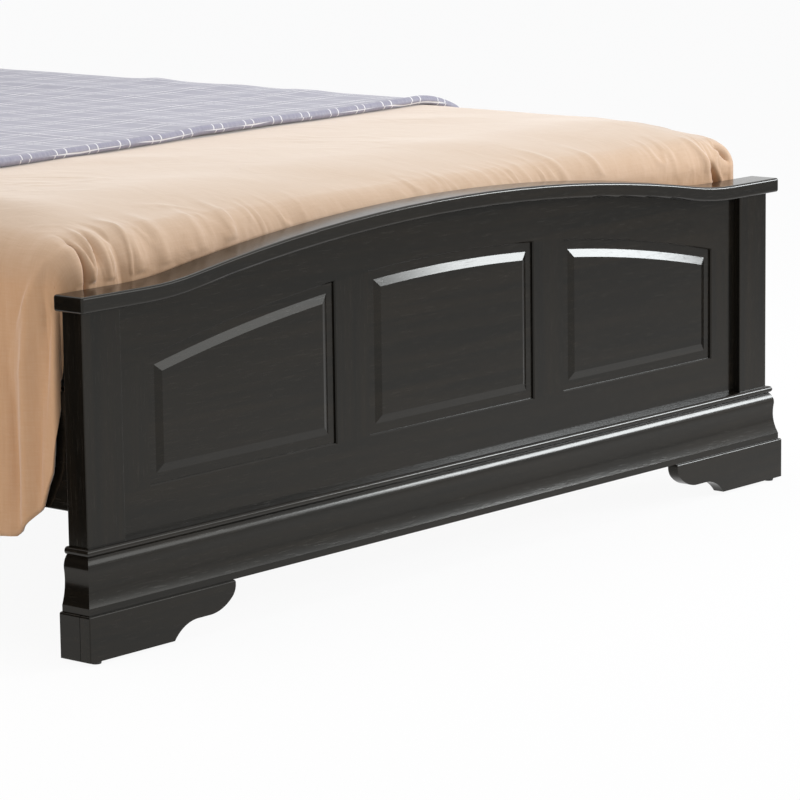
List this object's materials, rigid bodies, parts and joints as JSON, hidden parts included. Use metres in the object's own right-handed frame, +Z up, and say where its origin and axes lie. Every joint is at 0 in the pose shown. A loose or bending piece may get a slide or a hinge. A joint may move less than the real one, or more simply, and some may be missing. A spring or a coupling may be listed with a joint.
{
  "type": "panel bed",
  "caption": "Double bed with arched panelled footboard and headboard, moulded base, bracket feet, side rails, slats, mattress and covers.",
  "frame": {"origin": "on the floor, at the middle of the bed's footprint", "axes": "+Z up; -Y towards the foot of the bed, where the panelled face looks; +X to the right seen from the foot"},
  "size_m": [1.666, 2.165, 1.1805],
  "materials": {
    "ebony_wood": "satin lacquer over an ebony stain, faint open grain",
    "panel_wood": "satin lacquer over an ebony stain, faint open grain",
    "slat_wood": "plain planed softwood",
    "plate_steel": "zinc-plated steel",
    "leveller_steel": "black",
    "glide_plastic": "black moulded",
    "ticking": "woven ticking",
    "tan_cloth": "soft plain weave, tan",
    "grey_cloth": "grey-lavender quilted cloth"
  },
  "bodies": {
    "frame": {"base_moulding_front": "ebony_wood", "base_moulding_left": "ebony_wood", "base_moulding_right": "ebony_wood", "catch_plate_foot_left": "plate_steel", "catch_plate_foot_right": "plate_steel", "catch_plate_head_left": "plate_steel", "catch_plate_head_right": "plate_steel", "centre_leg_foot": "slat_wood", "centre_leg_head": "slat_wood", "centre_leg_middle": "slat_wood", "foot_bracket_left": "ebony_wood", "foot_bracket_right": "ebony_wood", "foot_cap": "ebony_wood", "foot_mullion_left": "ebony_wood", "foot_mullion_right": "ebony_wood", "foot_panel_centre": "panel_wood", "foot_panel_left": "panel_wood", "foot_panel_right": "panel_wood", "foot_post_left": "ebony_wood", "foot_post_right": "ebony_wood", "foot_rail_lower": "ebony_wood", "foot_rail_upper": "ebony_wood", "foot_return_left": "ebony_wood", "foot_return_right": "ebony_wood", "foot_stile_left": "ebony_wood", "foot_stile_right": "ebony_wood", "glides": "glide_plastic", "head_cap": "ebony_wood", "head_mullion_left": "ebony_wood", "head_mullion_right": "ebony_wood", "head_panel_centre": "panel_wood", "head_panel_left": "panel_wood", "head_panel_right": "panel_wood", "head_post_left": "ebony_wood", "head_post_right": "ebony_wood", "head_rail_lower": "ebony_wood", "head_rail_upper": "ebony_wood", "head_stile_left": "ebony_wood", "head_stile_right": "ebony_wood", "hook_plate_foot_left": "plate_steel", "hook_plate_foot_right": "plate_steel", "hook_plate_head_left": "plate_steel", "hook_plate_head_right": "plate_steel", "ledger_left": "slat_wood", "ledger_right": "slat_wood", "side_rail_left": "ebony_wood", "side_rail_right": "ebony_wood", "slat_foot": "slat_wood", "slat_head": "slat_wood", "slat_middle": "slat_wood"},
    "foundation": {"foundation": "ticking"},
    "bedding": {"mattress": "ticking", "blanket": "tan_cloth", "quilt": "grey_cloth"},
    "leveller_foot": {"leveller_foot": "leveller_steel"},
    "leveller_middle": {"leveller_middle": "leveller_steel"},
    "leveller_head": {"leveller_head": "leveller_steel"}
  },
  "joints": [
    {"name": "foundation_lift", "type": "slide", "parent": "frame", "child": "foundation", "axis": [0, 0, 1], "range_m": [0, 0.35]},
    {"name": "bedding_lift", "type": "slide", "parent": "foundation", "child": "bedding", "axis": [0, 0, 1], "range_m": [0, 0.35]},
    {"name": "leveller_foot_screw", "type": "slide", "parent": "frame", "child": "leveller_foot", "axis": [0, 0, 1], "range_m": [-0.012, 0.018]},
    {"name": "leveller_middle_screw", "type": "slide", "parent": "frame", "child": "leveller_middle", "axis": [0, 0, 1], "range_m": [-0.012, 0.018]},
    {"name": "leveller_head_screw", "type": "slide", "parent": "frame", "child": "leveller_head", "axis": [0, 0, 1], "range_m": [-0.012, 0.018]}
  ]
}
